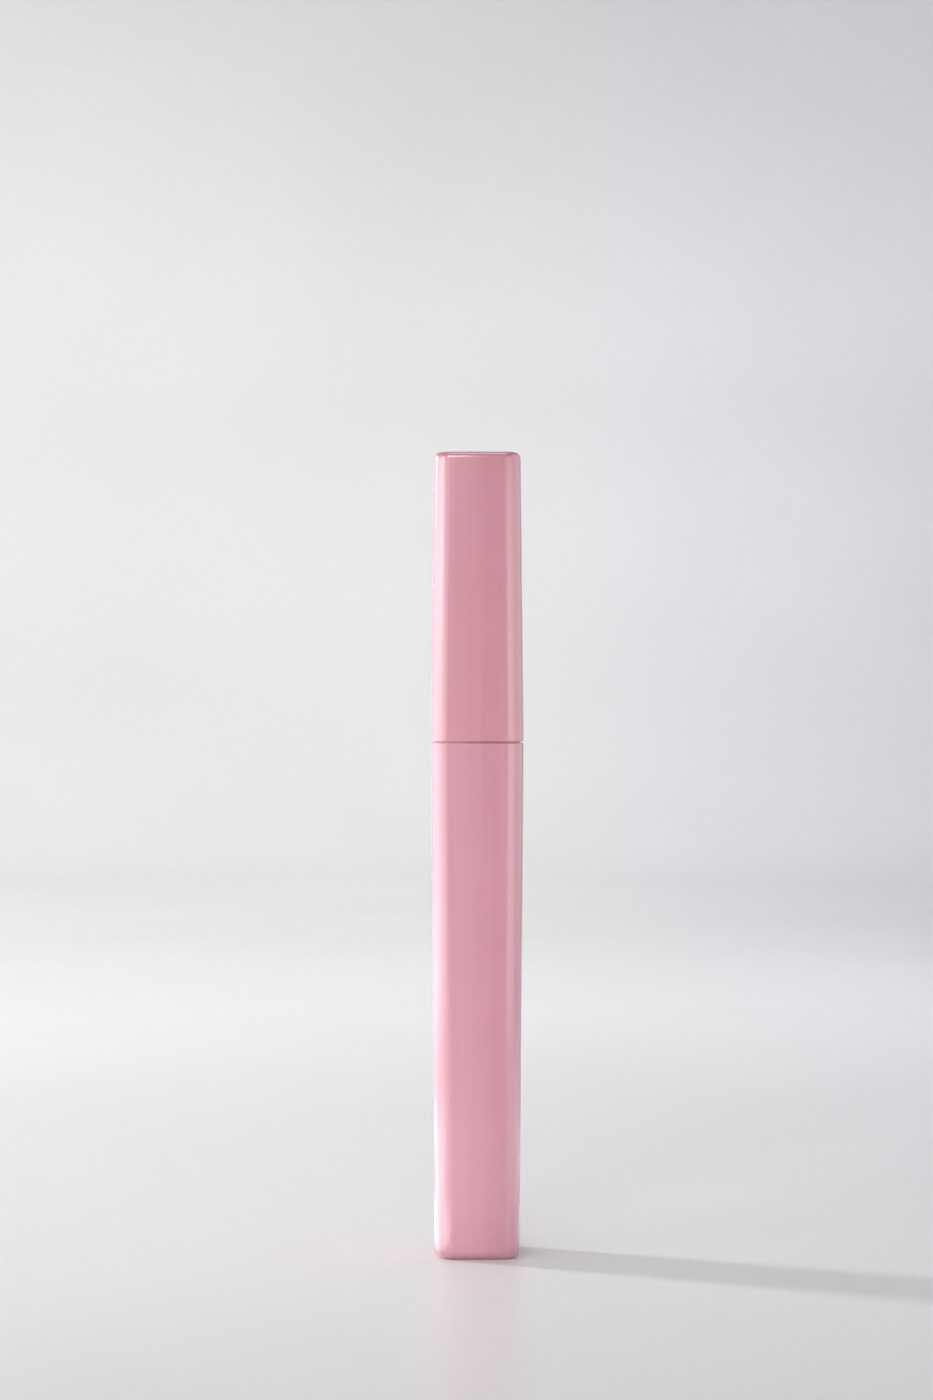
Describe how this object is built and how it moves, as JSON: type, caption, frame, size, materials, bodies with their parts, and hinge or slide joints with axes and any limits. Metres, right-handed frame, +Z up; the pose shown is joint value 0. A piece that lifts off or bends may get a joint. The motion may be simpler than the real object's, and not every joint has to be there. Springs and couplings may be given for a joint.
{
  "type": "mascara tube",
  "caption": "Slim square mascara tube whose screw cap draws a wand with a twisted-wire brush out through the wiper.",
  "frame": {"origin": "centre of the base, on the surface that the tube stands on", "axes": "+Z up along the tube to the cap's top; X and Y square to the four sides, which are alike"},
  "size_m": [0.014, 0.014, 0.12],
  "materials": {
    "body_plastic": "polished moulded, pale pink",
    "cap_plastic": "polished moulded, pale pink",
    "collar_plastic": "moulded, pale pink",
    "label_film": "blank satin film",
    "weight_steel": "zinc plated",
    "bottle_plastic": "natural, slightly cloudy",
    "wiper_plastic": "soft natural",
    "paste": "wet black paste",
    "washer_foam": "foamed polyethylene",
    "inner_cap_plastic": "natural moulded",
    "wand_plastic": "black moulded, smeared with paste",
    "brush_steel": "drawn stainless wire",
    "bristle_nylon": "black nylon fibres"
  },
  "bodies": {
    "bottle": {"body_shell": "body_plastic", "base_label": "label_film", "base_weight": "weight_steel", "inner_bottle": "bottle_plastic", "collar": "collar_plastic", "wiper": "wiper_plastic", "mascara_paste": "paste"},
    "washer": {"seal_washer": "washer_foam"},
    "cap": {"cap_shell": "cap_plastic", "inner_cap": "inner_cap_plastic", "wand_rod": "wand_plastic", "brush_wire": "brush_steel", "brush_bristles": "bristle_nylon"}
  },
  "joints": [
    {"name": "cap_lift", "type": "slide", "parent": "bottle", "child": "washer", "axis": [0, 0, 1], "range_m": [0, 0.078], "deforming": ["brush_bristles"]},
    {"name": "cap_turn", "type": "hinge", "parent": "washer", "child": "cap", "pos_m": [0, 0, 0.0852], "axis": [0, 0, 1], "range_deg": [0, 2342]}
  ],
  "couplings": [
    {"joint": "cap_turn", "follows": "cap_lift", "rad_per_m": 523.6}
  ]
}
